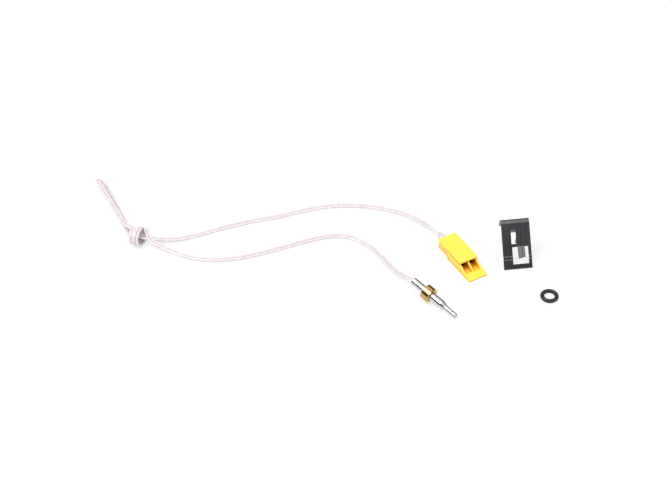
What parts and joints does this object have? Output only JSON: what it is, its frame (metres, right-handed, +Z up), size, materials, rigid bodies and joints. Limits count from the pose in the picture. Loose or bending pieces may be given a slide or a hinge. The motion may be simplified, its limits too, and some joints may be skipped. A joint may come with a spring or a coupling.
{
  "type": "boiler temperature probe",
  "caption": "Metal plug-in temperature probe with a brass collar on a knotted two-wire lead with a yellow latching plug, and a loose spring clip and O-ring.",
  "frame": {"origin": "on the surface under the middle of the box round the probe, clip and O-ring", "axes": "+Z up from the surface the kit lies on; +X from the probe towards the O-ring"},
  "size_m": [0.2323, 0.0986, 0.0187],
  "materials": {
    "nickel": "bright nickel plate",
    "brass": "polished",
    "dark_resin": "cast epoxy",
    "polyimide": "thin film tube",
    "insulation": "soft satin",
    "copper": "stranded, tinned at the ends",
    "tin": "tin plate",
    "sleeve": "thin heat-proof tube",
    "bead_glass": "glass-coated bead",
    "white_compound": "heat-conducting compound",
    "yellow_plastic": "satin moulding",
    "spring_steel": "polished, darkened",
    "rubber": "smooth moulding"
  },
  "bodies": {
    "sensor": {"sheath": "nickel", "collar": "brass", "back_seal": "dark_resin", "body_liner": "polyimide", "lead_tail_a": "insulation", "lead_tail_b": "insulation", "core_a": "copper", "core_b": "copper", "splice_a": "tin", "splice_b": "tin", "bead_lead_a": "tin", "bead_lead_b": "tin", "lead_sleeve_a": "sleeve", "lead_sleeve_b": "sleeve", "sensing_bead": "bead_glass", "tip_compound": "white_compound", "probe_run_a": "insulation", "probe_run_b": "insulation", "plug_run_a": "insulation", "plug_run_b": "insulation", "lead_knot": "insulation", "lead_loop": "insulation", "plug_housing": "yellow_plastic", "terminal_a": "tin", "terminal_b": "tin", "plug_tail_a": "insulation", "plug_tail_b": "insulation", "plug_core_a": "copper", "plug_core_b": "copper"},
    "latch": {"latch_lever": "yellow_plastic"},
    "clip": {"spring_clip": "spring_steel"},
    "ring": {"o_ring": "rubber"}
  },
  "joints": [
    {"name": "latch_hinge", "type": "hinge", "parent": "sensor", "child": "latch", "pos_m": [-0.01175, 0.01699, 0.005], "axis": [-0.866, -0.5, 0], "range_deg": [0, 4.5], "stiffness_Nm_per_rad": 0.02},
    {"name": "clip_lift", "type": "slide", "parent": "sensor", "child": "clip", "axis": [0, 0, 1], "range_m": [0, 0.03]},
    {"name": "ring_lift", "type": "slide", "parent": "sensor", "child": "ring", "axis": [0, 0, 1], "range_m": [0, 0.03]}
  ]
}
